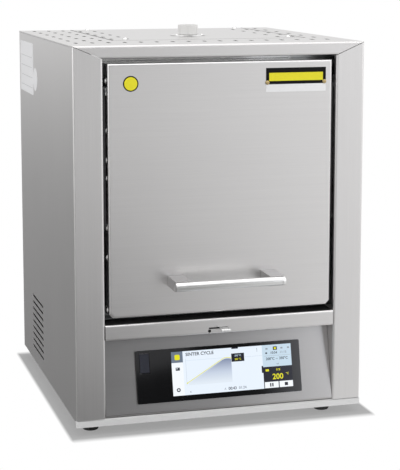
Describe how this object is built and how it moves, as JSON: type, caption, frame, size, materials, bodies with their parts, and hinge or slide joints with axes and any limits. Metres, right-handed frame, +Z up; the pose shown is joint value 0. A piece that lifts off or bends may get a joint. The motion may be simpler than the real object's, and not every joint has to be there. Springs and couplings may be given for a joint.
{
  "type": "sintering furnace",
  "caption": "Bench-top box furnace with a lift door on parallel arms, a bar handle, a fibre-lined heated chamber, a top flue and a sloped touch panel.",
  "frame": {"origin": "on the bench, under the middle of the overall width and depth", "axes": "+Z up, front with the door and handle towards -Y, +X to the right seen from the front"},
  "size_m": [0.408, 0.4758, 0.541],
  "materials": {
    "stainless": "brushed stainless sheet",
    "bright_steel": "fine satin stainless",
    "zinc": "zinc-plated sheet",
    "fibre": "fibre board, matt",
    "alumina": "fired alumina",
    "black_glass": "black gloss glass",
    "dark_plastic": "moulded black plastic",
    "navy_plastic": "moulded dark blue plastic",
    "rubber": "black rubber",
    "element": "dull grey sintered element",
    "laminate": "varnished core plates",
    "copper": "enamelled winding",
    "grey_plastic": "moulded grey plastic"
  },
  "bodies": {
    "housing": {"left_side_panel": "stainless", "right_side_panel": "stainless", "top_cover": "stainless", "top_lid": "stainless", "rear_panel": "stainless", "ledge": "stainless", "control_panel": "stainless", "flue_collar": "stainless", "base_tray": "bright_steel", "fan_guard": "bright_steel", "hinge_plate_left": "zinc", "hinge_plate_right": "zinc", "front_plate": "zinc", "inner_casing": "zinc", "compartment_deck": "zinc", "power_controller": "zinc", "mouth_collar": "fibre", "insulation_floor": "fibre", "insulation_left": "fibre", "insulation_right": "fibre", "insulation_roof": "fibre", "insulation_back": "fibre", "element_holder_left": "alumina", "element_holder_right": "alumina", "hearth_plate": "alumina", "thermocouple": "alumina", "flue_tube": "alumina", "display_glass": "black_glass", "display_module": "dark_plastic", "fan_frame": "dark_plastic", "mains_inlet": "dark_plastic", "switch_frame": "dark_plastic", "foot_front_left": "rubber", "foot_front_right": "rubber", "foot_rear_left": "rubber", "foot_rear_right": "rubber", "heating_element_left_front": "element", "heating_element_left_rear": "element", "heating_element_right_front": "element", "heating_element_right_rear": "element", "transformer_core": "laminate", "transformer_coil": "copper", "terminal_block": "grey_plastic"},
    "upper_arms": {"upper_arm_left": "zinc", "upper_arm_right": "zinc"},
    "lower_arms": {"lower_arm_left": "zinc", "lower_arm_right": "zinc"},
    "door": {"door_skin": "stainless", "door_back_pan": "stainless", "door_plug": "fibre", "handle_bar": "bright_steel", "handle_post_left": "stainless", "handle_post_right": "stainless", "door_rail_left": "zinc", "door_rail_right": "zinc"},
    "air_slider": {"air_slider": "bright_steel"},
    "port_flap": {"port_flap": "navy_plastic"},
    "fan_rotor": {"fan_rotor": "dark_plastic"},
    "switch_rocker": {"switch_rocker": "dark_plastic"}
  },
  "joints": [
    {"name": "door_lift", "type": "hinge", "parent": "housing", "child": "upper_arms", "pos_m": [0, -0.17455, 0.465], "axis": [-1, 0, 0], "range_deg": [0, 105]},
    {"name": "door_level", "type": "hinge", "parent": "upper_arms", "child": "door", "pos_m": [0, -0.17455, 0.283], "axis": [-1, 0, 0], "range_deg": [-105, 0]},
    {"name": "lower_arm_lift", "type": "hinge", "parent": "housing", "child": "lower_arms", "pos_m": [0, -0.15755, 0.35], "axis": [-1, 0, 0], "range_deg": [0, 105]},
    {"name": "air_slide", "type": "slide", "parent": "housing", "child": "air_slider", "axis": [-1, 0, 0], "range_m": [0, 0.014]},
    {"name": "flap_swing", "type": "hinge", "parent": "housing", "child": "port_flap", "pos_m": [0, -0.17914, 0.07876], "axis": [1, 0, 0], "range_deg": [0, 95]},
    {"name": "fan_spin", "type": "hinge", "parent": "housing", "child": "fan_rotor", "pos_m": [0.095, 0.21995, 0.086], "axis": [0, 1, 0], "continuous": true},
    {"name": "switch_rock", "type": "hinge", "parent": "housing", "child": "switch_rocker", "pos_m": [-0.14, 0.23295, 0.104], "axis": [-1, 0, 0], "range_deg": [0, 16]}
  ],
  "couplings": [
    {"joint": "door_level", "follows": "door_lift", "ratio": -1},
    {"joint": "lower_arm_lift", "follows": "door_lift", "ratio": 1}
  ]
}
